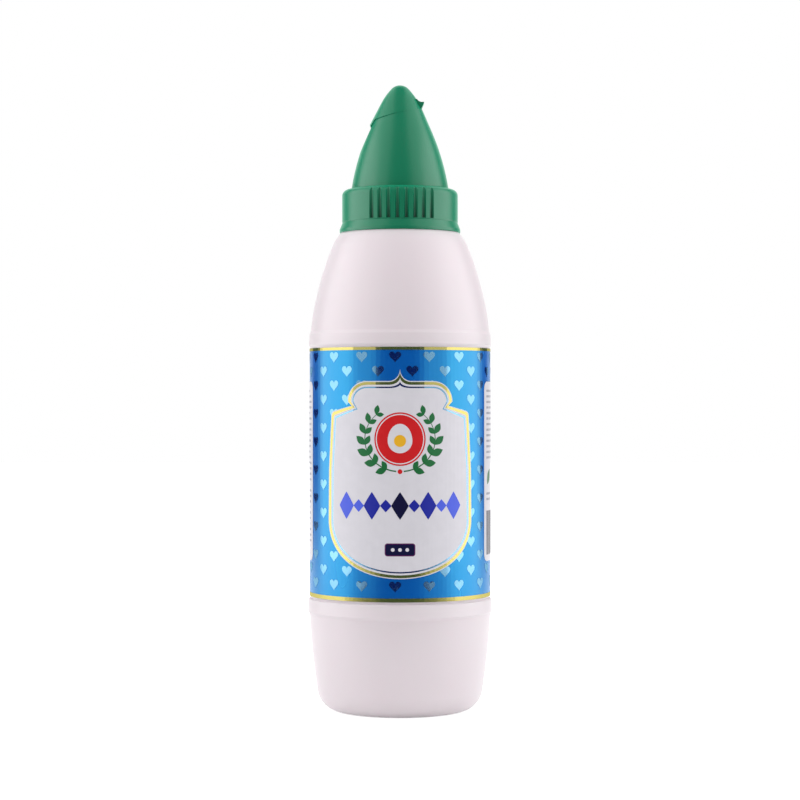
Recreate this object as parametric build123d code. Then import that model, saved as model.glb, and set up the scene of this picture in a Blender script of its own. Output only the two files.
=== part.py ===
from build123d import *
import os
from math import cos, radians, sin, tan

# A filled mayonnaise squeeze bottle: a blown bottle with a wrap label, a screw cap with a
# pointed spout, and the spout's small flip lid, shut. All sizes are in millimetres.
# +Z is up and the origin is the centre of the base, on the plane that the bottle stands on.
# The label's front faces -Y. The lid's thumb tab is at +X and its hinge is at -X.

# Bottle: foot, heel and lower wall
FOOT_INSET = 10.3            # standing ring's outer edge, in from the label panel's wall
FOOT_WIDTH = 2.2             # flat of the standing ring
PUSH_UP_DEPTH = 2.6          # height of the base's hollow at its centre
HEEL_WIDTH = 7.7             # heel's arc, from the standing ring out to the lower wall
HEEL_HEIGHT = 6.6
LOWER_WALL_HEIGHT = 33.4     # from the floor to the lower bead

# Bottle: the two beads and the label panel between them
PANEL_RADIUS = 31.1          # wall that the label is wrapped round
WAIST_STEP = 0.15            # lower wall stands this far outside the panel's wall
LOWER_BEAD_HEIGHT = 5.2
LOWER_BEAD_PROUD = 0.78      # bead's widest line, outside the panel's wall
LOWER_BEAD_TOP_PROUD = 0.45  # bead's upper edge, outside the panel's wall
BEAD_RISE = 0.9              # height over which a bead's lower edge swells out
BEAD_ROUNDING = 0.25
GROOVE_DEPTH = 0.3           # groove between the lower bead and the label
GROOVE_HEIGHT = 1.1
LABEL_HEIGHT = 85.0
LABEL_THICKNESS = 0.12
UPPER_GAP = 0.3              # bare wall between the label and the upper bead
UPPER_BEAD_HEIGHT = 5.6
UPPER_BEAD_PROUD = 0.38
UPPER_BEAD_TOP_PROUD = 0.2
UPPER_BEAD_FALL = 1.1        # height over which the upper bead falls back to the shoulder

# Bottle: shoulder
SHOULDER_STEP = 0.2          # shoulder's foot, inside the panel's wall
SHOULDER_HEIGHT = 35.7       # from the upper bead to the seat under the cap
SHOULDER_FOOT_TILT = 6.3     # degrees off vertical where the shoulder starts
SHOULDER_BREAK_WIDTH = 4.65  # where the long arc turns into the short one, out from the seat
SHOULDER_BREAK_DROP = 6.0    # and down from it
SEAT_INSET = 1.8            # seat's edge, inside the cap lip's inner wall

# Cap: ring
CAP_RADIUS = 20.0
RING_HEIGHT = 13.3           # from the seat to the ledge round the spout
RING_TOP_ROUNDING = 2.1
LIP_PROUD = 0.85             # lip round the ring's lower edge, outside its wall
LIP_WALL = 0.4              # lip's thickness where it hangs below the seat
LIP_DROP = 1.6               # how far the lip hangs below the seat
LIP_EDGE_HEIGHT = 1.1        # upright edge of the lip
LIP_FLARE_HEIGHT = 2.4       # height over which the wall flares out to that edge
LIP_ROUNDING = 0.3
CREASE_DEPTH = 0.12          # fine crease where the flare starts
CREASE_HEIGHT = 0.4

# Cap: grip grooves, in equal groups round the ring
GRIP_GROUPS = 2
GRIPS_PER_GROUP = 8
GRIP_PITCH = 8.8             # degrees
GRIP_TURN = 1.85              # degrees, first group's middle past the front
GRIP_DEPTH = 0.95            # at a groove's lower end
GRIP_DRAFT = 1.6             # degrees off vertical, so that a groove gets shallower upwards
GRIP_WIDTH = 1.6
GRIP_TOP_MARGIN = 0.6        # from the ledge down to the grooves' upper ends
GRIP_FOOT_MARGIN = 0.05       # from the crease up to the grooves' lower ends

# Cap: spout
SPOUT_FOOT_RADIUS = 16.75
SPOUT_FOOT_ROUNDING = 0.5
SPOUT_BREAK_RADIUS = 10.97   # where the spout's curved foot turns into its straight cone
SPOUT_BREAK_HEIGHT = 20.3    # above the ledge
SPOUT_HALF_ANGLE = 23.4      # degrees

# Parting plane between the spout and the lid, rising from the hinge to the tab
PARTING_HEIGHT = 26.15       # on the axis, above the ledge
PARTING_TILT = 14.0          # degrees

# Flip lid
LID_OVERHANG = 0.1           # lid's cone outside the spout's, where they meet on the axis
LID_HALF_ANGLE = 27.6        # degrees
LID_STRAIGHT_HEIGHT = 4.0    # of the straight cone, above the parting plane
NOSE_RADIUS = 2.98           # where the rounded tip starts
NOSE_HEIGHT = 8.85            # above the parting plane
TAB_WIDTH = 5.6
TAB_REACH = 8.35             # tab's upper edge, out from the axis
TAB_HEIGHT = 4.1             # tab's top, above the parting plane on the axis
TAB_END_TILT = 22.0          # degrees off vertical
TAB_ROOT_RADIUS = 1.9        # concave curve from the lid's cone to the tab
HINGE_WIDTH = 7.6
HINGE_THICKNESS = 1.15       # lug's thickness where it leaves the lid
HINGE_DROP = 2.75             # lug's inner edge, below the parting plane
HINGE_BEVEL = 69.0           # degrees, slope of the lug's underside
FACET_TILT = 24.5            # degrees off vertical, of the flat behind the hinge lug
FACET_LENGTH = 11.0

# Heights above the floor that follow from the sizes above
LOWER_BEAD_TOP = LOWER_WALL_HEIGHT + LOWER_BEAD_HEIGHT
LABEL_BOTTOM = LOWER_BEAD_TOP + GROOVE_HEIGHT
LABEL_TOP = LABEL_BOTTOM + LABEL_HEIGHT
UPPER_BEAD_BOTTOM = LABEL_TOP + UPPER_GAP
SHOULDER_FOOT = UPPER_BEAD_BOTTOM + UPPER_BEAD_HEIGHT
SEAT = SHOULDER_FOOT + SHOULDER_HEIGHT
LEDGE = SEAT + RING_HEIGHT
PARTING = LEDGE + PARTING_HEIGHT

# Radii that follow from the sizes above
FOOT_RADIUS = PANEL_RADIUS - FOOT_INSET
LIP_RADIUS = CAP_RADIUS + LIP_PROUD
LIP_INNER_RADIUS = LIP_RADIUS - LIP_WALL
SEAT_RADIUS = LIP_INNER_RADIUS - SEAT_INSET


def leaning_in(tilt):
    """Unit vector up a wall that leans in towards the axis by tilt degrees."""
    return Vector(-sin(radians(tilt)), cos(radians(tilt)))


def spout_radius(height):
    """Radius of the spout's straight cone, at a height above the ledge."""
    return SPOUT_BREAK_RADIUS - (height - SPOUT_BREAK_HEIGHT) * tan(radians(SPOUT_HALF_ANGLE))


def lid_radius(height):
    """Radius of the lid's straight cone, at a height above the parting plane on the axis."""
    return spout_radius(PARTING_HEIGHT) + LID_OVERHANG - height * tan(radians(LID_HALF_ANGLE))


def parting_point(x):
    """Point of the parting plane at x, in the XZ plane."""
    return Vector(x, PARTING + x * tan(radians(PARTING_TILT)))


def hinge_root():
    """Point of the parting plane where the hinge lug's inner face starts, in the XZ plane."""
    cone_slope = tan(radians(LID_HALF_ANGLE))
    outer_x = -lid_radius(0) / (1 - cone_slope * tan(radians(PARTING_TILT)))
    return parting_point(outer_x + HINGE_THICKNESS)


def facet_point(drop):
    """Point of the spout's flat behind the hinge lug, drop below the hinge's root."""
    return hinge_root() - Vector(drop * tan(radians(FACET_TILT)), drop)


def prism(points, width):
    """Solid of an outline in the XZ plane, drawn out by width across the Y axis."""
    with BuildPart() as solid:
        with BuildSketch(Plane.XZ):
            with BuildLine():
                Polyline(*points, close=True)
            make_face()
        extrude(amount=width / 2, both=True)
    return solid.part


def draw_base():
    """Hollow of the base, standing ring, heel and lower wall. Returns the wall's top."""
    hollow_edge = Vector(FOOT_RADIUS - FOOT_WIDTH, 0)
    foot = Vector(FOOT_RADIUS, 0)
    heel_top = Vector(FOOT_RADIUS + HEEL_WIDTH, HEEL_HEIGHT)
    waist = Vector(PANEL_RADIUS + WAIST_STEP, LOWER_WALL_HEIGHT)
    TangentArc((0, PUSH_UP_DEPTH), hollow_edge, tangent=(1, 0))
    Line(hollow_edge, foot)
    heel = TangentArc(foot, heel_top, tangent=(1, 0))
    TangentArc(heel_top, waist, tangent=heel % 1)
    return waist


def draw_lower_bead(waist):
    """Bead under the label, and the groove over it. Returns the panel's lower edge."""
    crest = Vector(PANEL_RADIUS + LOWER_BEAD_PROUD, LOWER_WALL_HEIGHT + BEAD_RISE)
    edge = Vector(PANEL_RADIUS + LOWER_BEAD_TOP_PROUD, LOWER_BEAD_TOP)
    groove_foot = Vector(PANEL_RADIUS - GROOVE_DEPTH, LOWER_BEAD_TOP + GROOVE_DEPTH)
    groove_top = Vector(PANEL_RADIUS - GROOVE_DEPTH, LABEL_BOTTOM - GROOVE_DEPTH)
    panel_foot = Vector(PANEL_RADIUS, LABEL_BOTTOM)
    FilletPolyline(waist, crest, edge, groove_foot, radius=BEAD_ROUNDING)
    Polyline(groove_foot, groove_top, panel_foot)
    return panel_foot


def draw_panel(panel_foot):
    """Label panel, and the bead over it. Returns the shoulder's foot."""
    bead_foot = Vector(PANEL_RADIUS, UPPER_BEAD_BOTTOM)
    crest = Vector(PANEL_RADIUS + UPPER_BEAD_PROUD, UPPER_BEAD_BOTTOM + BEAD_RISE)
    edge = Vector(PANEL_RADIUS + UPPER_BEAD_TOP_PROUD, SHOULDER_FOOT - UPPER_BEAD_FALL)
    shoulder_foot = Vector(PANEL_RADIUS - SHOULDER_STEP, SHOULDER_FOOT)
    Line(panel_foot, bead_foot)
    FilletPolyline(bead_foot, crest, edge, shoulder_foot, radius=BEAD_ROUNDING)
    return shoulder_foot


def draw_shoulder(shoulder_foot):
    """Shoulder, in two tangent arcs, up to the edge of the cap's seat."""
    seat_edge = Vector(SEAT_RADIUS, SEAT)
    shoulder_break = seat_edge + Vector(SHOULDER_BREAK_WIDTH, -SHOULDER_BREAK_DROP)
    long_arc = TangentArc(shoulder_foot, shoulder_break, tangent=leaning_in(SHOULDER_FOOT_TILT))
    TangentArc(shoulder_break, seat_edge, tangent=long_arc % 1)
    Polyline(seat_edge, (0, SEAT), (0, PUSH_UP_DEPTH))


def bottle():
    """Blown bottle with its contents, up to the flat seat that the cap closes."""
    with BuildPart() as body:
        with BuildSketch(Plane.XZ):
            with BuildLine():
                waist = draw_base()
                panel_foot = draw_lower_bead(waist)
                shoulder_foot = draw_panel(panel_foot)
                draw_shoulder(shoulder_foot)
            make_face()
        revolve(axis=Axis.Z)
    return body.part


def label():
    """Film sleeve round the label panel."""
    with BuildPart() as sleeve:
        with BuildSketch(Plane.XY.offset(LABEL_BOTTOM)):
            Circle(PANEL_RADIUS + LABEL_THICKNESS)
            Circle(PANEL_RADIUS, mode=Mode.SUBTRACT)
        extrude(amount=LABEL_HEIGHT)
    return sleeve.part


def ring():
    """Cap's ring: wall, flared lip that hangs over the shoulder, and rounded top edge."""
    lip_bottom = SEAT - LIP_DROP
    lip_edge_top = lip_bottom + LIP_EDGE_HEIGHT
    wall_foot = lip_edge_top + LIP_FLARE_HEIGHT
    crease_top = wall_foot + CREASE_HEIGHT
    with BuildPart() as solid:
        with BuildSketch(Plane.XZ):
            with BuildLine():
                Polyline((0, SEAT), (LIP_INNER_RADIUS, SEAT), (LIP_INNER_RADIUS, lip_bottom))
                FilletPolyline(
                    (LIP_INNER_RADIUS, lip_bottom),
                    (LIP_RADIUS, lip_bottom),
                    (LIP_RADIUS, lip_edge_top),
                    (CAP_RADIUS - CREASE_DEPTH, wall_foot),
                    radius=LIP_ROUNDING,
                )
                Line((CAP_RADIUS - CREASE_DEPTH, wall_foot), (CAP_RADIUS, crease_top))
                FilletPolyline(
                    (CAP_RADIUS, crease_top),
                    (CAP_RADIUS, LEDGE),
                    (0, LEDGE),
                    radius=RING_TOP_ROUNDING,
                )
                Line((0, LEDGE), (0, SEAT))
            make_face()
        revolve(axis=Axis.Z)
    return solid.part


def grip_groove():
    """One grip groove's cutter at the front of the ring, leaning out of the wall upwards."""
    foot = SEAT - LIP_DROP + LIP_EDGE_HEIGHT + LIP_FLARE_HEIGHT + CREASE_HEIGHT + GRIP_FOOT_MARGIN
    top = LEDGE - GRIP_TOP_MARGIN
    with BuildPart() as cutter:
        with BuildSketch(Plane.XY.offset(foot)):
            with Locations((0, -CAP_RADIUS)):
                Ellipse(GRIP_WIDTH / 2, GRIP_DEPTH)
        extrude(amount=top - foot)
    lower_end = Axis((0, -CAP_RADIUS, foot), (1, 0, 0))
    return cutter.part.rotate(lower_end, GRIP_DRAFT)


def grip_angles():
    """Angles of all grip grooves, in evenly spaced groups, from the front."""
    angles = []
    for group in range(GRIP_GROUPS):
        for groove in range(GRIPS_PER_GROUP):
            step = groove - (GRIPS_PER_GROUP - 1) / 2
            angles.append(GRIP_TURN + group * 360 / GRIP_GROUPS + step * GRIP_PITCH)
    return angles


def spout():
    """Spout's cone with its curved foot, whole, from the ledge to above the parting plane."""
    cone_top = PARTING_HEIGHT + SPOUT_BREAK_RADIUS * tan(radians(PARTING_TILT))
    spout_break = Vector(SPOUT_BREAK_RADIUS, LEDGE + SPOUT_BREAK_HEIGHT)
    foot = Vector(SPOUT_FOOT_RADIUS, LEDGE + SPOUT_FOOT_ROUNDING)
    ledge_edge = Vector(SPOUT_FOOT_RADIUS + SPOUT_FOOT_ROUNDING, LEDGE)
    with BuildPart() as cone:
        with BuildSketch(Plane.XZ):
            with BuildLine():
                TangentArc(spout_break, foot, tangent=-leaning_in(SPOUT_HALF_ANGLE))
                TangentArc(ledge_edge, foot, tangent=(-1, 0))
                Polyline(
                    ledge_edge,
                    (0, LEDGE),
                    (0, LEDGE + cone_top),
                    (spout_radius(cone_top), LEDGE + cone_top),
                    spout_break,
                )
            make_face()
        revolve(axis=Axis.Z)
    return cone.part


def above_parting():
    """Space above the parting plane, wide enough to hold the lid and the spout's end."""
    reach = 2 * SPOUT_FOOT_RADIUS
    top = PARTING + PARTING_HEIGHT
    return prism([parting_point(-reach), parting_point(reach), (reach, top), (-reach, top)], 2 * reach)


def facet_cutter():
    """Space outside the flat that the hinge lug lies against."""
    end = facet_point(FACET_LENGTH)
    outer_x = end.X - SPOUT_FOOT_RADIUS
    return prism([hinge_root(), end, (outer_x, end.Y), parting_point(outer_x)], 2 * SPOUT_FOOT_RADIUS)


def cap():
    """Screw cap in one moulding: ring with grip grooves, and spout cut off at the lid."""
    grooves = [grip_groove().rotate(Axis.Z, angle) for angle in grip_angles()]
    return ring() + spout() - grooves - above_parting() - facet_cutter()


def lid_cone():
    """Lid's cone and rounded tip, drawn on below the parting plane for the hinge lug."""
    foot_drop = SPOUT_BREAK_RADIUS * tan(radians(PARTING_TILT)) + 2 * HINGE_DROP
    straight_top = Vector(lid_radius(LID_STRAIGHT_HEIGHT), PARTING + LID_STRAIGHT_HEIGHT)
    nose_foot = Vector(NOSE_RADIUS, PARTING + NOSE_HEIGHT)
    with BuildPart() as cone:
        with BuildSketch(Plane.XZ):
            with BuildLine():
                Polyline(
                    (0, PARTING - foot_drop),
                    (lid_radius(-foot_drop), PARTING - foot_drop),
                    straight_top,
                )
                belly = TangentArc(straight_top, nose_foot, tangent=leaning_in(LID_HALF_ANGLE))
                up = belly % 1
                nose_rise = NOSE_RADIUS * (1 + up.X) / up.Y
                tip = Vector(0, nose_foot.Y + nose_rise)
                TangentArc(nose_foot, tip, tangent=up)
                Line(tip, (0, PARTING - foot_drop))
            make_face()
        revolve(axis=Axis.Z)
    return cone.part


def thumb_tab():
    """Tab that lifts the lid, a block under a concave curve from the cone's side."""
    top = PARTING + TAB_HEIGHT
    cone_x = lid_radius(TAB_HEIGHT)
    tangent_length = TAB_ROOT_RADIUS * tan(radians(90 - LID_HALF_ANGLE) / 2)
    root_end = Vector(cone_x, top) + leaning_in(LID_HALF_ANGLE) * tangent_length
    tip = Vector(TAB_REACH, top)
    end_slope = tan(radians(TAB_END_TILT))
    parting_slope = tan(radians(PARTING_TILT))
    foot_x = (TAB_REACH - (top - PARTING) * end_slope) / (1 - parting_slope * end_slope)
    with BuildPart() as tab:
        with BuildSketch(Plane.XZ):
            with BuildLine():
                TangentArc((cone_x + tangent_length, top), root_end, tangent=(-1, 0))
                Polyline(
                    root_end,
                    (0, root_end.Y),
                    parting_point(0),
                    parting_point(foot_x),
                    tip,
                    (cone_x + tangent_length, top),
                )
            make_face()
        extrude(amount=TAB_WIDTH / 2, both=True)
    return tab.part


def hinge_lug(cone):
    """Lug below the parting plane, a strip of the lid's own cone over the spout's flat."""
    foot = facet_point(HINGE_DROP)
    drop_at_foot = parting_point(foot.X).Y - foot.Y
    bevel_width = drop_at_foot / (tan(radians(HINGE_BEVEL)) + tan(radians(PARTING_TILT)))
    wedge = prism([hinge_root(), foot, parting_point(foot.X - bevel_width)], HINGE_WIDTH)
    return cone & wedge


def tip_lid():
    """Flip lid in one moulding, shut on the spout's slanted end."""
    cone = lid_cone()
    return (cone & above_parting()) + thumb_tab() + hinge_lug(cone)


SUBPARTS = {
    "bottle": bottle,
    "label": label,
    "cap": cap,
    "tip_lid": tip_lid,
}

os.makedirs("parts", exist_ok=True)
for node, make in SUBPARTS.items():
    solid = make()
    export_step(solid, f"parts/{node}.step")
    size = solid.bounding_box().size
    print(f"{node}: {len(solid.solids())} solid, {solid.volume / 1000:.1f} ml, {size.Z:.1f} mm high")
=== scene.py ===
from math import ceil, cos, hypot, pi, radians, sin

import bmesh
import bpy
from mathutils import Matrix, Vector


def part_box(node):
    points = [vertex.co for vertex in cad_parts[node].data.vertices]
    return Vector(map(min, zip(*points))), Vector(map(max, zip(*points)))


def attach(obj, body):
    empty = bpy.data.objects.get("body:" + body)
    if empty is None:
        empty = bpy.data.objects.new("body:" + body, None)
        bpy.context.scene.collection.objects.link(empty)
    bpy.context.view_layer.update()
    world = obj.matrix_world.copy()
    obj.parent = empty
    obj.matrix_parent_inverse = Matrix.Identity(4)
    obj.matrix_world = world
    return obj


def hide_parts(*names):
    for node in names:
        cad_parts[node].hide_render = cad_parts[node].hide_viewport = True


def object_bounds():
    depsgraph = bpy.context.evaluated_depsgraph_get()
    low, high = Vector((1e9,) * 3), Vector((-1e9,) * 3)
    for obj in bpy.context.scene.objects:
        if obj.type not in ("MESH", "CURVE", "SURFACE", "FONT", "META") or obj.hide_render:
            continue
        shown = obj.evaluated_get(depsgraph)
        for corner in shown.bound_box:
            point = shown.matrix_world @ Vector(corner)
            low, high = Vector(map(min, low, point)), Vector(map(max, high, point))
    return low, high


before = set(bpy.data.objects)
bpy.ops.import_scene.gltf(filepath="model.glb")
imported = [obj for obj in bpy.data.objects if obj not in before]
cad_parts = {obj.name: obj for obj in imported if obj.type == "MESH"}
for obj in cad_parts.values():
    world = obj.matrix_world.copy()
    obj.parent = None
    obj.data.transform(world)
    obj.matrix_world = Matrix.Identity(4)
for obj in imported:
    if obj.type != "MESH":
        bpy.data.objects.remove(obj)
cad_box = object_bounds()


# Studio
# A pale floor under an even white surround, two tall soft boxes at the sides and a large one
# overhead and a little forward. Dark cards in front, below, above and behind show only in
# reflections, and give the shiny faces a dark middle and dark edges.
MM = 0.001
VIEW_DISTANCE = 0.770
EYE_HEIGHT = 0.107
AIM_HEIGHT = 0.107
LENS_MM = 100.1
SURROUND_LIGHT = 0.55
FLOOR_SIZE = 6.0
FLOOR_GLOW = 0.8
SIDE_DISTANCE = 0.62
SIDE_FORWARD = 0.02
SIDE_SIZE = (0.66, 1.1)
SIDE_WATTS = 3.1
TOP_HEIGHT = 1.1
TOP_SIZE = (1.0, 1.0)
TOP_WATTS = 4.6
TOP_FORWARD = 0.25
CARD_DISTANCE = 1.3
CARD_SIZE = (1.5, 4.0)
APRON_SIZE = (0.8, 1.1)
APRON_START = 0.12
APRON_RISE = 0.002
ROOF_HEIGHT = 1.0
ROOF_SIZE = (0.7, 1.2)
REAR_CARD_ANGLE = 134
REAR_CARD_DISTANCE = 1.0
REAR_CARD_SIZE = (0.40, 1.6)


def place_object(name, data):
    """New object in the scene, for a camera, a lamp or a finished mesh."""
    placed = bpy.data.objects.new(name, data)
    bpy.context.scene.collection.objects.link(placed)
    return placed


def aim(placed, spot, target):
    """Stand a camera or a lamp at a spot and turn it to face a target."""
    placed.location = spot
    placed.rotation_euler = (Vector(target) - Vector(spot)).to_track_quat("-Z", "Y").to_euler()


def soft_box(name, spot, target, size, watts):
    """Rectangular lamp that lights the bottle but isn't seen itself."""
    lamp = bpy.data.lights.new(name, "AREA")
    lamp.shape = "RECTANGLE"
    lamp.size, lamp.size_y = size
    lamp.energy = watts
    box = place_object(name, lamp)
    box.visible_camera = False
    aim(box, spot, target)
    return box


def rectangle(name, size, turn):
    """Flat rectangle of a size, centred on the origin and then placed by a matrix."""
    sheet = bmesh.new()
    bmesh.ops.create_grid(sheet, x_segments=1, y_segments=1, size=0.5)
    bmesh.ops.scale(sheet, vec=(size[0], size[1], 1), verts=sheet.verts)
    bmesh.ops.transform(sheet, matrix=turn, verts=sheet.verts)
    mesh = bpy.data.meshes.new(name)
    sheet.to_mesh(mesh)
    sheet.free()
    return place_object(name, mesh)


def node_material(name):
    """New node material with its shader, and what links and makes its nodes."""
    material = bpy.data.materials.new(name)
    material.use_nodes = True
    tree = material.node_tree
    return material, tree, tree.nodes["Principled BSDF"], tree.links.new


def larger_of(tree, first, second):
    """The larger of two node outputs."""
    larger = tree.nodes.new("ShaderNodeMath")
    larger.operation = "MAXIMUM"
    tree.links.new(first, larger.inputs[0])
    tree.links.new(second, larger.inputs[1])
    return larger.outputs["Value"]


def seen_directly(tree):
    """Light Path value that is 1 for camera, glossy and transmission rays."""
    path = tree.nodes.new("ShaderNodeLightPath")
    camera_or_glossy = larger_of(tree, path.outputs["Is Camera Ray"], path.outputs["Is Glossy Ray"])
    return larger_of(tree, camera_or_glossy, path.outputs["Is Transmission Ray"])


def white_surround():
    """World that looks white and lights the bottle at a lower, even level."""
    world = bpy.data.worlds.new("surround")
    bpy.context.scene.world = world
    world.use_nodes = True
    tree = world.node_tree
    background = tree.nodes["Background"]
    level = tree.nodes.new("ShaderNodeMapRange")
    level.inputs["To Min"].default_value = SURROUND_LIGHT
    level.inputs["To Max"].default_value = 1.0
    tree.links.new(seen_directly(tree), level.inputs["Value"])
    tree.links.new(level.outputs["Result"], background.inputs["Strength"])
    background.inputs["Color"].default_value = (1.0, 1.0, 1.0, 1.0)


def floor_material():
    """White floor that glows just enough to look white, and keeps the bottle's shadow."""
    material, tree, shader, link = node_material("floor_white")
    shader.inputs["Base Color"].default_value = (0.8, 0.8, 0.8, 1.0)
    shader.inputs["Roughness"].default_value = 0.9
    shader.inputs["Specular IOR Level"].default_value = 0.1
    glow = tree.nodes.new("ShaderNodeMapRange")
    glow.inputs["To Min"].default_value = 0.0
    glow.inputs["To Max"].default_value = FLOOR_GLOW
    link(seen_directly(tree), glow.inputs["Value"])
    shader.inputs["Emission Color"].default_value = (1.0, 1.0, 1.0, 1.0)
    link(glow.outputs["Result"], shader.inputs["Emission Strength"])
    return material


def dark_card_material():
    """Matt black card."""
    material, _, shader, _ = node_material("card_black")
    shader.inputs["Base Color"].default_value = (0.01, 0.01, 0.01, 1.0)
    shader.inputs["Roughness"].default_value = 1.0
    shader.inputs["Specular IOR Level"].default_value = 0.0
    return material


scene = bpy.context.scene
scene.view_settings.view_transform = "Standard"
camera = place_object("camera", bpy.data.cameras.new("camera"))
camera.data.lens = LENS_MM
camera.data.sensor_width = 36.0
aim(camera, (0, -VIEW_DISTANCE, EYE_HEIGHT), (0, 0, AIM_HEIGHT))
scene.camera = camera
white_surround()

middle = cad_box[1][2] / 2
side_target = (0, -SIDE_FORWARD, middle)
soft_box("side_box_left", (-SIDE_DISTANCE, -SIDE_FORWARD, middle), side_target, SIDE_SIZE, SIDE_WATTS)
soft_box("side_box_right", (SIDE_DISTANCE, -SIDE_FORWARD, middle), side_target, SIDE_SIZE, SIDE_WATTS)
top_box = soft_box("top_box", (0, -TOP_FORWARD, TOP_HEIGHT), (0, 0, middle), TOP_SIZE, TOP_WATTS)
top_box.visible_glossy = False

floor = rectangle("floor", (FLOOR_SIZE, FLOOR_SIZE), Matrix.Identity(4))
floor.data.materials.append(floor_material())

black = dark_card_material()


def dark_card(name, size, turn):
    """Black card that shows only in reflections."""
    card = rectangle(name, size, turn)
    card.data.materials.append(black)
    card.visible_camera = False
    card.visible_diffuse = False
    card.visible_shadow = False


upright = Matrix.Rotation(pi / 2, 4, "X")
dark_card("dark_card", CARD_SIZE, Matrix.Translation((0, -CARD_DISTANCE, middle)) @ upright)
apron_middle = -APRON_START - APRON_SIZE[1] / 2
dark_card("dark_apron", APRON_SIZE, Matrix.Translation((0, apron_middle, APRON_RISE)))
dark_card("dark_roof", ROOF_SIZE, Matrix.Translation((0, -TOP_FORWARD, ROOF_HEIGHT)))
for side, name in ((-1, "rear_card_left"), (1, "rear_card_right")):
    around = Matrix.Rotation(side * radians(REAR_CARD_ANGLE), 4, "Z")
    outward = Matrix.Translation((0, -REAR_CARD_DISTANCE, middle))
    dark_card(name, REAR_CARD_SIZE, around @ outward @ upright)


# Bottle
# The bottle is blown from white polyethylene with a faint pink tint. Its wall is smooth and a
# little waxy, with the very slight waviness and fine mould texture of a blown part.
BODY_TONES = ((0.815, 0.732, 0.770), (0.838, 0.760, 0.797))
BODY_ROUGHNESS = (0.30, 0.42)
BODY_SCATTER = 0.3
BODY_SCATTER_RADIUS = (0.008, 0.006, 0.007)
GRAIN_DEPTH = 0.02 * MM


def value_noise(tree, scale, detail, stretch=(1, 1, 1)):
    """Noise on the object's own coordinates, its pattern stretched along the axes."""
    coordinates = tree.nodes.new("ShaderNodeTexCoord")
    mapping = tree.nodes.new("ShaderNodeMapping")
    mapping.inputs["Scale"].default_value = stretch
    noise = tree.nodes.new("ShaderNodeTexNoise")
    noise.inputs["Scale"].default_value = scale
    noise.inputs["Detail"].default_value = detail
    tree.links.new(coordinates.outputs["Object"], mapping.inputs["Vector"])
    tree.links.new(mapping.outputs["Vector"], noise.inputs["Vector"])
    return noise.outputs["Fac"]


def colour_between(tree, factor, low, high):
    """Colour that runs from low to high with a factor around its middle."""
    ramp = tree.nodes.new("ShaderNodeValToRGB")
    ramp.color_ramp.elements[0].position = 0.35
    ramp.color_ramp.elements[0].color = (*low, 1.0)
    ramp.color_ramp.elements[1].position = 0.65
    ramp.color_ramp.elements[1].color = (*high, 1.0)
    tree.links.new(factor, ramp.inputs["Fac"])
    return ramp.outputs["Color"]


def number_between(tree, factor, low, high):
    """Number that runs from low to high with a factor from 0 to 1."""
    spread = tree.nodes.new("ShaderNodeMapRange")
    spread.inputs["To Min"].default_value = low
    spread.inputs["To Max"].default_value = high
    tree.links.new(factor, spread.inputs["Value"])
    return spread.outputs["Result"]


def surface_bump(tree, shader, height, distance, strength):
    """Bump of a height pattern, distance metres deep."""
    bump = tree.nodes.new("ShaderNodeBump")
    bump.inputs["Distance"].default_value = distance
    bump.inputs["Strength"].default_value = strength
    tree.links.new(height, bump.inputs["Height"])
    tree.links.new(bump.outputs["Normal"], shader.inputs["Normal"])


def blown_plastic():
    """White blown polyethylene."""
    material, tree, shader, link = node_material("bottle_white")
    clouds = value_noise(tree, 22.0, 2.0, (1, 1, 0.4))
    link(colour_between(tree, clouds, *BODY_TONES), shader.inputs["Base Color"])
    grain = value_noise(tree, 900.0, 3.0)
    link(number_between(tree, grain, *BODY_ROUGHNESS), shader.inputs["Roughness"])
    shader.inputs["Subsurface Weight"].default_value = BODY_SCATTER
    shader.inputs["Subsurface Radius"].default_value = BODY_SCATTER_RADIUS
    shader.inputs["Subsurface Scale"].default_value = 1.0
    surface_bump(tree, shader, grain, GRAIN_DEPTH, 0.5)
    return material


def set_finish(node, material):
    """Give every slot of a part's own mesh one finish."""
    part = bpy.data.objects[node]
    part.data.materials.clear()
    part.data.materials.append(material)


set_finish("bottle", blown_plastic())


# Cap and lid
# The screw cap with its spout, and the small flip lid, are moulded in green polypropylene, smooth
# on the cone and slightly frosted where the tool was textured.
# Painted shade darkens the green inside the cap's grip grooves.
RING_RADIUS = 20.0 * MM
GROOVE_DEPTH = 0.8 * MM
GROOVE_FOOT = 168.7 * MM
GROOVE_TOP = 177.5 * MM
# darkest share of the green that the painted shade leaves at the groove floor
PAINTED_SHADE_DARKEST = 0.35
CAP_TONES = ((0.0, 0.180, 0.086), (0.002, 0.200, 0.098))
CAP_ROUGHNESS = (0.26, 0.38)
CAP_SHEEN = 0.45
CAP_SHEEN_TINT = (0.02, 1.0, 0.55)


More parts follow.
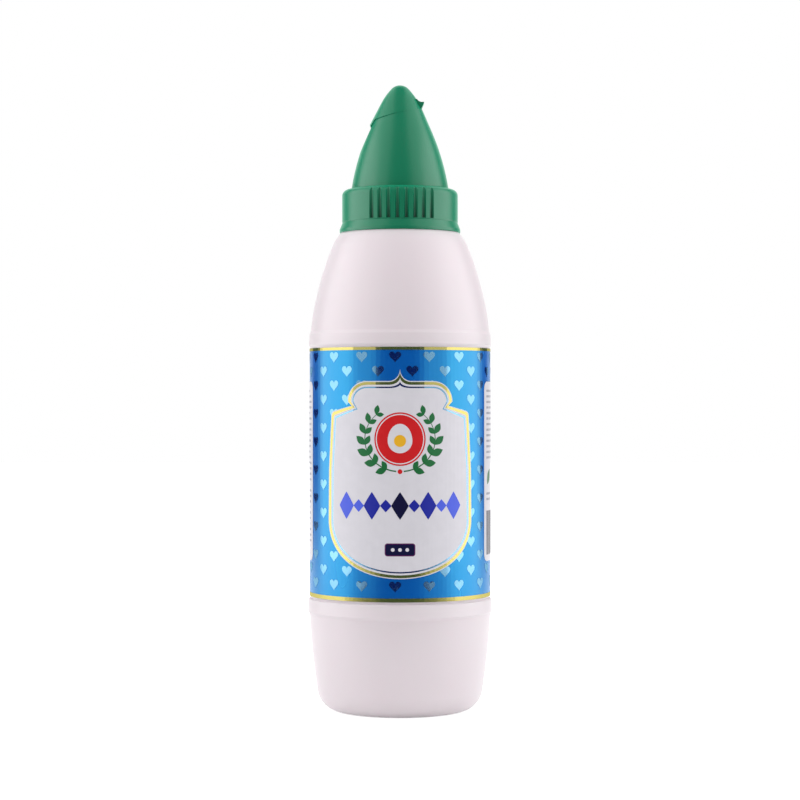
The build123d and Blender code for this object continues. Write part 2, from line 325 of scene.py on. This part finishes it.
def painted_groove_shade(tree):
    """Painted shade: a factor of 1 outside the grip grooves, which falls inside them with depth and
    downwards, darkening the colour where shade falls.
    """
    coordinates = tree.nodes.new("ShaderNodeTexCoord")
    flat = tree.nodes.new("ShaderNodeVectorMath")
    flat.operation = "MULTIPLY"
    flat.inputs[1].default_value = (1, 1, 0)
    tree.links.new(coordinates.outputs["Object"], flat.inputs[0])
    reach = tree.nodes.new("ShaderNodeVectorMath")
    reach.operation = "LENGTH"
    tree.links.new(flat.outputs["Vector"], reach.inputs[0])
    height = tree.nodes.new("ShaderNodeSeparateXYZ")
    tree.links.new(coordinates.outputs["Object"], height.inputs["Vector"])
    below = tree.nodes.new("ShaderNodeMath")
    below.operation = "LESS_THAN"
    below.inputs[1].default_value = GROOVE_FOOT
    tree.links.new(height.outputs["Z"], below.inputs[0])
    factor = below.outputs["Value"]
    for measure, darkest_at, clear_at in (
            (reach.outputs["Value"], RING_RADIUS - GROOVE_DEPTH, RING_RADIUS),
            (height.outputs["Z"], GROOVE_FOOT, GROOVE_TOP)):
        shade = tree.nodes.new("ShaderNodeMapRange")
        shade.inputs["From Min"].default_value = darkest_at
        shade.inputs["From Max"].default_value = clear_at
        shade.inputs["To Min"].default_value = PAINTED_SHADE_DARKEST
        tree.links.new(measure, shade.inputs["Value"])
        factor = larger_of(tree, factor, shade.outputs["Result"])
    return factor


def moulded_green():
    """Green moulded polypropylene, darkened with painted shade inside the grip grooves."""
    material, tree, shader, link = node_material("cap_green")
    clouds = value_noise(tree, 35.0, 2.0, (1, 1, 0.3))
    green = colour_between(tree, clouds, *CAP_TONES)
    # painted shade: the green is scaled down inside the grip grooves
    green_with_painted_shade = tree.nodes.new("ShaderNodeVectorMath")
    green_with_painted_shade.operation = "SCALE"
    link(green, green_with_painted_shade.inputs[0])
    link(painted_groove_shade(tree), green_with_painted_shade.inputs["Scale"])
    link(green_with_painted_shade.outputs["Vector"], shader.inputs["Base Color"])
    shader.inputs["Sheen Weight"].default_value = CAP_SHEEN
    shader.inputs["Sheen Roughness"].default_value = 0.45
    shader.inputs["Sheen Tint"].default_value = (*CAP_SHEEN_TINT, 1.0)
    grain = value_noise(tree, 1500.0, 3.0)
    link(number_between(tree, grain, *CAP_ROUGHNESS), shader.inputs["Roughness"])
    shader.inputs["Specular IOR Level"].default_value = 0.6
    surface_bump(tree, shader, grain, GRAIN_DEPTH, 0.6)
    return material


cap_finish = moulded_green()
set_finish("cap", cap_finish)
set_finish("tip_lid", cap_finish)


# Label film
# A sleeve of metallised film is wrapped round the panel, printed blue, with its two ends lapped
# at the back. It is so smooth that it mirrors the lights as broad soft bands.
film_low, film_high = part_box("label")
FILM_RADIUS = film_high[0]
FILM_BOTTOM = film_low[2]
FILM_TOP = film_high[2]
FILM_STEP = radians(3)
FILM_END_GAP = 0.5 * MM
LAP_WIDTH = 5 * MM
INK_RISE = 0.03 * MM
INK_THICKNESS = 0.02 * MM
FLAT_DISTANCE = 1e-7
FILM_TONES = ((0.0, 0.086, 0.47), (0.0, 0.102, 0.53))
FILM_ROUGHNESS = (0.22, 0.30)
FILM_IOR = 2.7
FILM_TINT = (0.11, 0.78, 1.0)
RIPPLE_DEPTH = 0.15 * MM


def finished(name, drawing, *materials):
    """Object at the origin from a finished bmesh, with its finishes."""
    mesh = bpy.data.meshes.new(name)
    drawing.to_mesh(mesh)
    drawing.free()
    for material in materials:
        mesh.materials.append(material)
    return place_object(name, mesh)


def cut_for_wrapping(drawing):
    """Cut a flat drawing into upright strips, narrow enough to follow the film's curve."""
    strip = FILM_RADIUS * FILM_STEP
    xs = [vert.co.x for vert in drawing.verts]
    first = ceil(min(xs) / strip)
    last = ceil(max(xs) / strip)
    for index in range(first, last):
        everything = drawing.verts[:] + drawing.edges[:] + drawing.faces[:]
        cut_at = (index * strip, 0, 0)
        bmesh.ops.bisect_plane(
            drawing, geom=everything, dist=FLAT_DISTANCE, plane_co=cut_at, plane_no=(1, 0, 0))


def wrap(drawing, radius, at=0.0):
    """Bend a drawing in x and z round the bottle, its middle turned to an angle from the front."""
    for vert in drawing.verts:
        angle = vert.co.x / FILM_RADIUS + at
        reach = radius + vert.co.y
        vert.co = Vector((reach * sin(angle), -reach * cos(angle), vert.co.z))
    bmesh.ops.recalc_face_normals(drawing, faces=drawing.faces)


def thicken(drawing, thickness):
    """Turn a flat drawing into a closed plate, its outer face a thickness away along +y."""
    sheet = drawing.faces[:]
    extruded = bmesh.ops.extrude_face_region(drawing, geom=sheet)
    moved = [item for item in extruded["geom"] if isinstance(item, bmesh.types.BMVert)]
    bmesh.ops.translate(drawing, vec=(0, thickness, 0), verts=moved)
    bmesh.ops.recalc_face_normals(drawing, faces=drawing.faces)


def on_foil(shader, ior, tint):
    """Let the foil under a coloured ink shine through, as a strong tinted reflection."""
    shader.inputs["IOR"].default_value = ior
    shader.inputs["Specular Tint"].default_value = (*tint, 1.0)


def film_blue():
    """Blue ink on metallised film."""
    material, tree, shader, link = node_material("film_blue")
    ripple = value_noise(tree, 60.0, 2.0, (1, 1, 0.25))
    link(colour_between(tree, ripple, *FILM_TONES), shader.inputs["Base Color"])
    link(number_between(tree, ripple, *FILM_ROUGHNESS), shader.inputs["Roughness"])
    on_foil(shader, FILM_IOR, FILM_TINT)
    surface_bump(tree, shader, ripple, RIPPLE_DEPTH, 0.35)
    return material


sleeve = bmesh.new()
half_turn = pi * FILM_RADIUS - FILM_END_GAP
outline = [sleeve.verts.new(corner) for corner in (
    (-half_turn, 0, FILM_BOTTOM), (half_turn, 0, FILM_BOTTOM),
    (half_turn, 0, FILM_TOP), (-half_turn, 0, FILM_TOP))]
sleeve.faces.new(outline)
cut_for_wrapping(sleeve)
thicken(sleeve, INK_RISE)
wrap(sleeve, FILM_RADIUS - INK_RISE)
film_finish = film_blue()
film = finished("label_film", sleeve, film_finish)
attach(film, "root")
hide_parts("label")


# Gold edge bands
# A narrow gold band is printed along each edge of the film, the lower one slightly wider.
TOP_BAND = 1.0 * MM
BOTTOM_BAND = 1.35 * MM
INK_ROUGHNESS = (0.28, 0.36)
FOIL_ROUGHNESS = (0.10, 0.18)
FOIL_IOR = 5.0
GOLD_BASE = (0.10, 0.15, 0.05)
GOLD_TINT = (0.92, 0.76, 0.24)


def inked(name, base, roughness=INK_ROUGHNESS):
    """Printed ink with a little mottling."""
    material, tree, shader, link = node_material(name)
    mottle = value_noise(tree, 300.0, 2.0)
    darker = [channel * 0.97 for channel in base]
    link(colour_between(tree, mottle, darker, base), shader.inputs["Base Color"])
    link(number_between(tree, mottle, *roughness), shader.inputs["Roughness"])
    shader.inputs["Specular IOR Level"].default_value = 0.3
    return material


def foiled(name, base, tint):
    """Thin clear ink on bare foil, which flashes in the lights and is deep in colour elsewhere."""
    material = inked(name, base, FOIL_ROUGHNESS)
    shader = material.node_tree.nodes["Principled BSDF"]
    shader.inputs["Specular IOR Level"].default_value = 0.5
    on_foil(shader, FOIL_IOR, tint)
    return material


def add_shape(drawing, points, finish_slot=0):
    """Add one flat shape to a drawing from its outline, given in x and z."""
    face = drawing.faces.new([drawing.verts.new((x, 0, z)) for x, z in points])
    face.material_index = finish_slot
    face.normal_update()
    if face.normal.y > 0:
        face.normal_flip()
    return face


def box_points(left, bottom, right, top):
    """Outline of a rectangle."""
    return [(left, bottom), (right, bottom), (right, top), (left, top)]


def print_layer(name, drawing, level, at, *materials):
    """Wrap a flat drawing round the bottle as a thin layer of ink, at a level over the film."""
    cut_for_wrapping(drawing)
    thicken(drawing, INK_THICKNESS)
    wrap(drawing, FILM_RADIUS + level * INK_RISE, at)
    layer = finished(name, drawing, *materials)
    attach(layer, "root")
    return layer


gold = foiled("foil_gold", GOLD_BASE, GOLD_TINT)
bands = bmesh.new()
add_shape(bands, box_points(-half_turn, FILM_TOP - TOP_BAND, half_turn, FILM_TOP))
add_shape(bands, box_points(-half_turn, FILM_BOTTOM, half_turn, FILM_BOTTOM + BOTTOM_BAND))
print_layer("gold_bands", bands, 2, 0.0, gold)


# Foil hearts
# Small hearts of bare foil are left free of ink in staggered rows all round the film, so they
# flash pale where the blue only shines.
HEART_WIDTH = 4.1 * MM
HEART_TOP_ROW = 121.3 * MM
HEART_ROW_PITCH = 4.78 * MM
HEART_ROWS = 17
HEARTS_PER_ROW = 17
HEART_TURN = radians(-3.0)
HEART_POINTS = 22
HEART_CURVE_WIDTH = 32
HEART_CURVE_RISE = 2.5
FOIL_BASE = (0.0, 0.015, 0.19)
FOIL_TINT = (0.36, 0.78, 1.0)


def heart_points(centre_x, centre_z):
    """Outline of one heart, by the usual heart curve."""
    scale = HEART_WIDTH / HEART_CURVE_WIDTH
    points = []
    for index in range(HEART_POINTS):
        turn = 2 * pi * (index + 0.5) / HEART_POINTS
        x = 16 * sin(turn) ** 3
        z = 13 * cos(turn) - 5 * cos(2 * turn) - 2 * cos(3 * turn) - cos(4 * turn)
        points.append((centre_x + x * scale, centre_z + (z + HEART_CURVE_RISE) * scale))
    return points


def heart_places():
    """Centres of all the hearts, row by row, the odd rows half a pitch round."""
    pitch = 2 * pi / HEARTS_PER_ROW
    for row in range(HEART_ROWS):
        for index in range(HEARTS_PER_ROW):
            turn = HEART_TURN + (index - HEARTS_PER_ROW // 2 + (row % 2) / 2) * pitch
            yield FILM_RADIUS * turn, HEART_TOP_ROW - row * HEART_ROW_PITCH


foil = foiled("foil_bare", FOIL_BASE, FOIL_TINT)
hearts = bmesh.new()
for heart_x, heart_z in heart_places():
    add_shape(hearts, heart_points(heart_x, heart_z))
print_layer("foil_hearts", hearts, 1, 0.0, foil)


# Front panel
# A white arched panel fills the front, with a pointed top and a round foot. A gold line edges it,
# and a fine line of bare foil runs inside the gold.
PANEL_APEX = 117.3 * MM
PANEL_CROWN = 113.3 * MM
PANEL_FLARE = 3.7 * MM
PANEL_CROWN_WIDTH = 11.3 * MM
PANEL_NECK = (18.6 * MM, 106.5 * MM)
PANEL_NOTCH = (17.0 * MM, 105.1 * MM)
PANEL_EAR = (24.3 * MM, 103.4 * MM)
PANEL_SIDE_TOP = (26.0 * MM, 101.6 * MM)
PANEL_SIDE_MIDDLE = (27.2 * MM, 83.7 * MM)
PANEL_HALF_WIDTH = 27.4 * MM
PANEL_FOOT_START = 66.8 * MM
PANEL_FOOT = 47.5 * MM
APEX_INSET = 2.2
WHITE_EDGE = 0.3 * MM
GOLD_LINE = 0.95 * MM
WHITE_GAP = 0.6 * MM
FOIL_LINE = 0.5 * MM


def arc_points(centre, radii, start, end, steps):
    """Points along an ellipse's arc, with both ends, angles in degrees."""
    points = []
    for index in range(steps + 1):
        turn = radians(start + (end - start) * index / steps)
        points.append((centre[0] + radii[0] * cos(turn), centre[1] + radii[1] * sin(turn)))
    return points


def panel_points(inset):
    """Outline of the front panel drawn in by an inset, its right half from the top and the left."""
    apex = PANEL_APEX - APEX_INSET * inset
    crown = PANEL_CROWN - inset
    neck_x, neck_z = PANEL_NECK[0] - inset, PANEL_NECK[1]
    ear_x, ear_z = PANEL_EAR[0] - inset / 2, PANEL_EAR[1] - inset
    side_x, side_z = PANEL_SIDE_TOP[0] - inset, PANEL_SIDE_TOP[1] - inset / 2
    flare_points = arc_points((PANEL_FLARE, apex), (PANEL_FLARE, apex - crown), 180, 270, 8)
    crown_radii = (neck_x - PANEL_CROWN_WIDTH, crown - neck_z)
    crown_points = arc_points((PANEL_CROWN_WIDTH, neck_z), crown_radii, 90, 0, 10)
    notch = (PANEL_NOTCH[0] - inset, PANEL_NOTCH[1] - inset / 2)
    ear_points = arc_points((ear_x, side_z), (side_x - ear_x, ear_z - side_z), 90, 0, 4)
    side_middle = (PANEL_SIDE_MIDDLE[0] - inset, PANEL_SIDE_MIDDLE[1])
    foot_radii = (PANEL_HALF_WIDTH - inset, PANEL_FOOT_START - PANEL_FOOT - inset)
    foot_points = arc_points((0, PANEL_FOOT_START), foot_radii, 0, -90, 24)
    half = flare_points + crown_points + [notch] + ear_points + [side_middle] + foot_points
    mirrored = [(-x, z) for x, z in reversed(half[1:-1])]
    return half + mirrored


def add_nested(drawing, outlines, finish_slots):
    """Fill each outline with its finish, down to the next one inside it."""
    loops = [[drawing.verts.new((x, 0, z)) for x, z in outline] for outline in outlines]
    for outer, inner, finish_slot in zip(loops, loops[1:], finish_slots):
        for index in range(len(outer)):
            strip = drawing.faces.new((outer[index - 1], outer[index], inner[index], inner[index - 1]))
            strip.material_index = finish_slot
    middle_face = drawing.faces.new(loops[-1])
    middle_face.material_index = finish_slots[-1]
    bmesh.ops.recalc_face_normals(drawing, faces=drawing.faces)


def add_lined(drawing, points, middle_point, insets, finish_slots):
    """Fill a round or oval outline with rings of finishes, each outline shrunk towards a point."""
    reach = max(hypot(x - middle_point[0], z - middle_point[1]) for x, z in points)
    outlines = []
    for inset in insets:
        share = 1 - inset / reach
        outlines.append([(middle_point[0] + (x - middle_point[0]) * share,
                          middle_point[1] + (z - middle_point[1]) * share) for x, z in points])
    add_nested(drawing, outlines, finish_slots)


panel_white = inked("ink_white", (0.755, 0.735, 0.79))
panel_insets = (0, WHITE_EDGE, WHITE_EDGE + GOLD_LINE, WHITE_EDGE + GOLD_LINE + WHITE_GAP,
                WHITE_EDGE + GOLD_LINE + WHITE_GAP + FOIL_LINE)
panel = bmesh.new()
add_nested(panel, [panel_points(inset) for inset in panel_insets], (0, 1, 0, 2, 0))
print_layer("front_panel", panel, 2, 0.0, panel_white, gold, foil)


# Emblem
# In the upper half of the panel stands a plain kitchen emblem: an egg on a red oval, between two
# leafy green sprays that curve up round it from a red berry.
EMBLEM_HEIGHT = 94.0 * MM
OVAL_RADII = (8.6 * MM, 8.9 * MM)
OVAL_LINE = 0.5 * MM
OVAL_GAP = 0.35 * MM
EGG_RADIUS = 4.1 * MM
EGG_POINT = 5.7 * MM
EGG_SHIFT = -0.6 * MM
YOLK_RADIUS = 2.0 * MM
SPRAY_RADII = (12.0 * MM, 10.8 * MM)
SPRAY_START = -84
SPRAY_END = 52
STEM_WIDTH = 0.45 * MM
STEM_STEPS = 16
STEM_TAPER = 0.6
LEAF_PAIRS = 7
LEAF_START = 0.8
LARGEST_PAIR = 2
LEAF_SHRINK = 0.07
LEAF_STEPS = 6
LEAF_LENGTH = 4.7 * MM
LEAF_HALF_WIDTH = 1.3 * MM
LEAF_SPREAD = 38
INNER_LEAF = 0.8
BERRY_RADIUS = 0.8 * MM


def round_points(centre, radii, steps):
    """Closed outline of an oval."""
    return arc_points(centre, radii, 0, 360 - 360 / steps, steps - 1)


def leaf_points(root, turn, length, half_width):
    """Outline of one pointed leaf from its root, turned in degrees from level."""
    shares = [step / LEAF_STEPS for step in range(LEAF_STEPS + 1)]
    upper = [(length * share, half_width * sin(pi * share)) for share in shares]
    lower = [(x, -z) for x, z in reversed(upper[1:-1])]
    across, along = sin(radians(turn)), cos(radians(turn))
    return [(root[0] + x * along - z * across, root[1] + x * across + z * along)
            for x, z in upper + lower]


def egg_points(steps):
    """Outline of an egg, longer upwards than downwards."""
    points = []
    for index in range(steps):
        turn = 2 * pi * index / steps
        reach = EGG_POINT if sin(turn) > 0 else EGG_RADIUS
        points.append((EGG_RADIUS * cos(turn), EMBLEM_HEIGHT + EGG_SHIFT + reach * sin(turn)))
    return points


def spray_point(share):
    """Point and outward direction, in degrees, a share of the way up the right-hand spray."""
    turn = SPRAY_START + (SPRAY_END - SPRAY_START) * share
    x = SPRAY_RADII[0] * cos(radians(turn))
    z = EMBLEM_HEIGHT + SPRAY_RADII[1] * sin(radians(turn))
    return (x, z), turn


def mirrored_shape(points):
    """The same outline on the other side of the middle."""
    return [(-x, z) for x, z in reversed(points)]


def add_spray(drawing, finish_slot):
    """Both sprays: a thin tapering stem, with leaves in pairs that spread from it upwards."""
    outer, inner = [], []
    for step in range(STEM_STEPS + 1):
        (x, z), turn = spray_point(step / STEM_STEPS)
        half_width = STEM_WIDTH / 2 * (1 - STEM_TAPER * step / STEM_STEPS)
        outer.append((x + half_width * cos(radians(turn)), z + half_width * sin(radians(turn))))
        inner.append((x - half_width * cos(radians(turn)), z - half_width * sin(radians(turn))))
    shapes = [outer + inner[::-1]]
    for pair in range(LEAF_PAIRS):
        root, turn = spray_point((pair + LEAF_START) / LEAF_PAIRS)
        size = 1 - LEAF_SHRINK * abs(pair - LARGEST_PAIR)
        for spread, share in ((-LEAF_SPREAD, 1.0), (LEAF_SPREAD, INNER_LEAF)):
            lean = turn + 90 + spread
            length = LEAF_LENGTH * size * share
            shapes.append(leaf_points(root, lean, length, LEAF_HALF_WIDTH * size * share))
    for shape in shapes:
        add_shape(drawing, shape, finish_slot)
        add_shape(drawing, mirrored_shape(shape), finish_slot)


red_ink = inked("ink_red", (0.68, 0.010, 0.014))
green_ink = inked("ink_green", (0.012, 0.16, 0.045))
yolk_ink = inked("ink_yolk", (0.90, 0.48, 0.02))
emblem_middle = (0, EMBLEM_HEIGHT)
emblem = bmesh.new()
add_lined(emblem, round_points(emblem_middle, OVAL_RADII, 48), emblem_middle,
          (0, OVAL_LINE, OVAL_LINE + OVAL_GAP), (0, 1, 0))
print_layer("emblem", emblem, 4, 0.0, red_ink, panel_white)
sprays = bmesh.new()
add_spray(sprays, 0)
add_shape(sprays, round_points((0, EMBLEM_HEIGHT - SPRAY_RADII[1]), (BERRY_RADIUS, BERRY_RADIUS), 18), 1)
print_layer("emblem_sprays", sprays, 3, 0.0, green_ink, red_ink)
egg = bmesh.new()
add_shape(egg, egg_points(32), 0)
print_layer("emblem_egg", egg, 5, 0.0, panel_white)
yolk = bmesh.new()
add_shape(yolk, round_points((0, EMBLEM_HEIGHT + EGG_SHIFT), (YOLK_RADIUS, YOLK_RADIUS), 24))
print_layer("emblem_yolk", yolk, 6, 0.0, yolk_ink)


# Ornament
# Below the emblem runs a row of lozenges, tall and short in turn, that fades from navy in the
# middle to bright blue at its ends, and under it a small navy tablet with three pale dots.
ROW_HEIGHT = 71.8 * MM
LOZENGE_PITCH = 4.75 * MM
LOZENGES_PER_SIDE = 4
TALL_LOZENGE = (2.9 * MM, 4.6 * MM)
SHORT_LOZENGE = (1.9 * MM, 2.1 * MM)
LOZENGE_HOLLOW = 1.9
LOZENGE_STEPS = 24
TABLET_HEIGHT = 57.2 * MM
TABLET_SIZE = (10.2 * MM, 4.3 * MM)
TABLET_CORNER = 0.9 * MM
TABLET_RIM = 0.3 * MM
DOT_RADIUS = 0.62 * MM
DOT_PITCH = 2.4 * MM
CORNER_STEPS = 5


def rounded_box_points(left, bottom, right, top, corner):
    """Outline of a rectangle with round corners."""
    radii = (corner, corner)
    points = []
    for centre, start in (
            ((right - corner, bottom + corner), -90), ((right - corner, top - corner), 0),
            ((left + corner, top - corner), 90), ((left + corner, bottom + corner), 180)):
        points += arc_points(centre, radii, start, start + 90, CORNER_STEPS)
    return points


def hollowed(share):
    """Cosine or sine of an oval's outline, drawn in to a lozenge's hollow side."""
    return abs(share) ** LOZENGE_HOLLOW * (1 if share > 0 else -1)


def lozenge_points(centre_x, centre_z, half_width, half_height):
    """Outline of a lozenge with hollow sides."""
    points = []
    for index in range(LOZENGE_STEPS):
        turn = 2 * pi * index / LOZENGE_STEPS
        x = centre_x + half_width * hollowed(cos(turn))
        z = centre_z + half_height * hollowed(sin(turn))
        points.append((x, z))
    return points


navy_ink = inked("ink_navy", (0.006, 0.006, 0.050))
royal_ink = inked("ink_royal", (0.012, 0.020, 0.36))
bright_ink = inked("ink_bright_blue", (0.08, 0.13, 0.80))
row = bmesh.new()
for index in range(-LOZENGES_PER_SIDE, LOZENGES_PER_SIDE + 1):
    half_size = SHORT_LOZENGE if index % 2 else TALL_LOZENGE
    add_shape(row, lozenge_points(index * LOZENGE_PITCH, ROW_HEIGHT, *half_size), (abs(index) + 1) // 2)
print_layer("lozenge_row", row, 3, 0.0, navy_ink, royal_ink, bright_ink)

rim_ink = inked("ink_plum", (0.14, 0.02, 0.12))
tablet_outlines = []
for inset in (0, TABLET_RIM):
    half_width = TABLET_SIZE[0] / 2 - inset
    half_height = TABLET_SIZE[1] / 2 - inset
    low, high = TABLET_HEIGHT - half_height, TABLET_HEIGHT + half_height
    tablet_outlines.append(rounded_box_points(-half_width, low, half_width, high, TABLET_CORNER - inset))
tablet = bmesh.new()
add_nested(tablet, tablet_outlines, (1, 0))
print_layer("tablet", tablet, 3, 0.0, navy_ink, rim_ink)
dots = bmesh.new()
for index in (-1, 0, 1):
    add_shape(dots, round_points((index * DOT_PITCH, TABLET_HEIGHT), (DOT_RADIUS, DOT_RADIUS), 18))
print_layer("tablet_dots", dots, 4, 0.0, panel_white)


# Side panels
# A white panel with round corners is printed on each side, with rows of plain grey bars, a block
# of upright dark bars and a small green leaf on the right-hand one.
SIDE_PANEL_WIDTH = 36.0 * MM
SIDE_PANEL_BOTTOM = 52.0 * MM
SIDE_PANEL_TOP = 113.3 * MM
SIDE_PANEL_CORNER = 2.6 * MM
LEFT_PANEL_EDGE = -39.4 * MM
RIGHT_PANEL_EDGE = 36.2 * MM
SIDE_MARGIN = 2.2 * MM
BAR_PITCH = 1.9 * MM
BAR_HEIGHT = 0.75 * MM
BAR_GAP = 0.8 * MM
BAR_SHORTEST = 2.2 * MM
BAR_SPREAD = 3.4 * MM
LAST_BAR_ROOM = 2 * MM
ROW_PHASE = 1.7
BAR_PHASE = 2.3
BLOCK_WIDTH = 13.0 * MM
BLOCK_HEIGHT = 15.0 * MM
UPRIGHT_WIDTHS = (0.35 * MM, 0.95 * MM, 0.65 * MM)
UPRIGHT_GAPS = (0.4 * MM, 0.65 * MM)
SIDE_LEAF_TOP = 86.0 * MM
SIDE_LEAF_BOTTOM = 76.0 * MM
SIDE_LEAF_INSET = 1.0 * MM
SIDE_LEAF_LEAN = 55
SIDE_LEAF_LENGTH = 6.4 * MM
SIDE_LEAF_HALF_WIDTH = 1.7 * MM


def text_bars(drawing, left, right, bottom, top, seed):
    """Rows of plain bars of uneven lengths, with small gaps, in place of fine print."""
    row_count = int((top - bottom) / BAR_PITCH)
    for row_index in range(row_count):
        z = top - (row_index + 0.5) * BAR_PITCH
        x = left
        step = 0
        while x < right - LAST_BAR_ROOM:
            length = BAR_SHORTEST + BAR_SPREAD * abs(sin(seed + row_index * ROW_PHASE + step * BAR_PHASE))
            end = min(x + length, right)
            add_shape(drawing, box_points(x, z - BAR_HEIGHT / 2, end, z + BAR_HEIGHT / 2), 0)
            x = end + BAR_GAP
            step += 1


def upright_bars(drawing, left, bottom):
    """Block of upright bars of uneven widths."""
    x = left
    index = 0
    while x < left + BLOCK_WIDTH:
        width = UPRIGHT_WIDTHS[index % len(UPRIGHT_WIDTHS)]
        add_shape(drawing, box_points(x, bottom, x + width, bottom + BLOCK_HEIGHT), 1)
        x += width + UPRIGHT_GAPS[index % len(UPRIGHT_GAPS)]
        index += 1


grey_ink = inked("ink_grey", (0.36, 0.36, 0.42))
dark_ink = inked("ink_dark", (0.03, 0.03, 0.05))
side_panels = bmesh.new()
side_lefts = (LEFT_PANEL_EDGE - SIDE_PANEL_WIDTH, RIGHT_PANEL_EDGE)
for left in side_lefts:
    edges = (left, SIDE_PANEL_BOTTOM, left + SIDE_PANEL_WIDTH, SIDE_PANEL_TOP)
    add_shape(side_panels, rounded_box_points(*edges, SIDE_PANEL_CORNER))
print_layer("side_panels", side_panels, 2, 0.0, panel_white)

side_print = bmesh.new()
print_top = SIDE_PANEL_TOP - SIDE_MARGIN
print_bottom = SIDE_PANEL_BOTTOM + SIDE_MARGIN
left_start, right_start = [left + SIDE_MARGIN for left in side_lefts]
left_end, right_end = [left + SIDE_PANEL_WIDTH - SIDE_MARGIN for left in side_lefts]
block_top = print_bottom + BLOCK_HEIGHT + SIDE_MARGIN
text_bars(side_print, left_start, left_end, print_bottom, print_top, 0)
text_bars(side_print, right_start, right_end, SIDE_LEAF_TOP, print_top, 1)
text_bars(side_print, right_start, right_end, block_top, SIDE_LEAF_BOTTOM, 2)
upright_bars(side_print, right_start, print_bottom)
leaf_root = (right_start + SIDE_LEAF_INSET, SIDE_LEAF_BOTTOM + SIDE_MARGIN)
add_shape(side_print, leaf_points(leaf_root, SIDE_LEAF_LEAN, SIDE_LEAF_LENGTH, SIDE_LEAF_HALF_WIDTH), 2)
print_layer("side_print", side_print, 3, 0.0, grey_ink, dark_ink, green_ink)


# Lapped seam
# The film's outer end is stuck down over its inner end at the back, as a narrow upright strip.
# The gold bands run on across it.
seam = bmesh.new()
half_lap = LAP_WIDTH / 2
add_shape(seam, box_points(-half_lap, FILM_BOTTOM, half_lap, FILM_BOTTOM + BOTTOM_BAND), 1)
add_shape(seam, box_points(-half_lap, FILM_BOTTOM + BOTTOM_BAND, half_lap, FILM_TOP - TOP_BAND), 0)
add_shape(seam, box_points(-half_lap, FILM_TOP - TOP_BAND, half_lap, FILM_TOP), 1)
bmesh.ops.remove_doubles(seam, verts=seam.verts, dist=FLAT_DISTANCE)
print_layer("film_lap", seam, 3, pi, film_finish, gold)
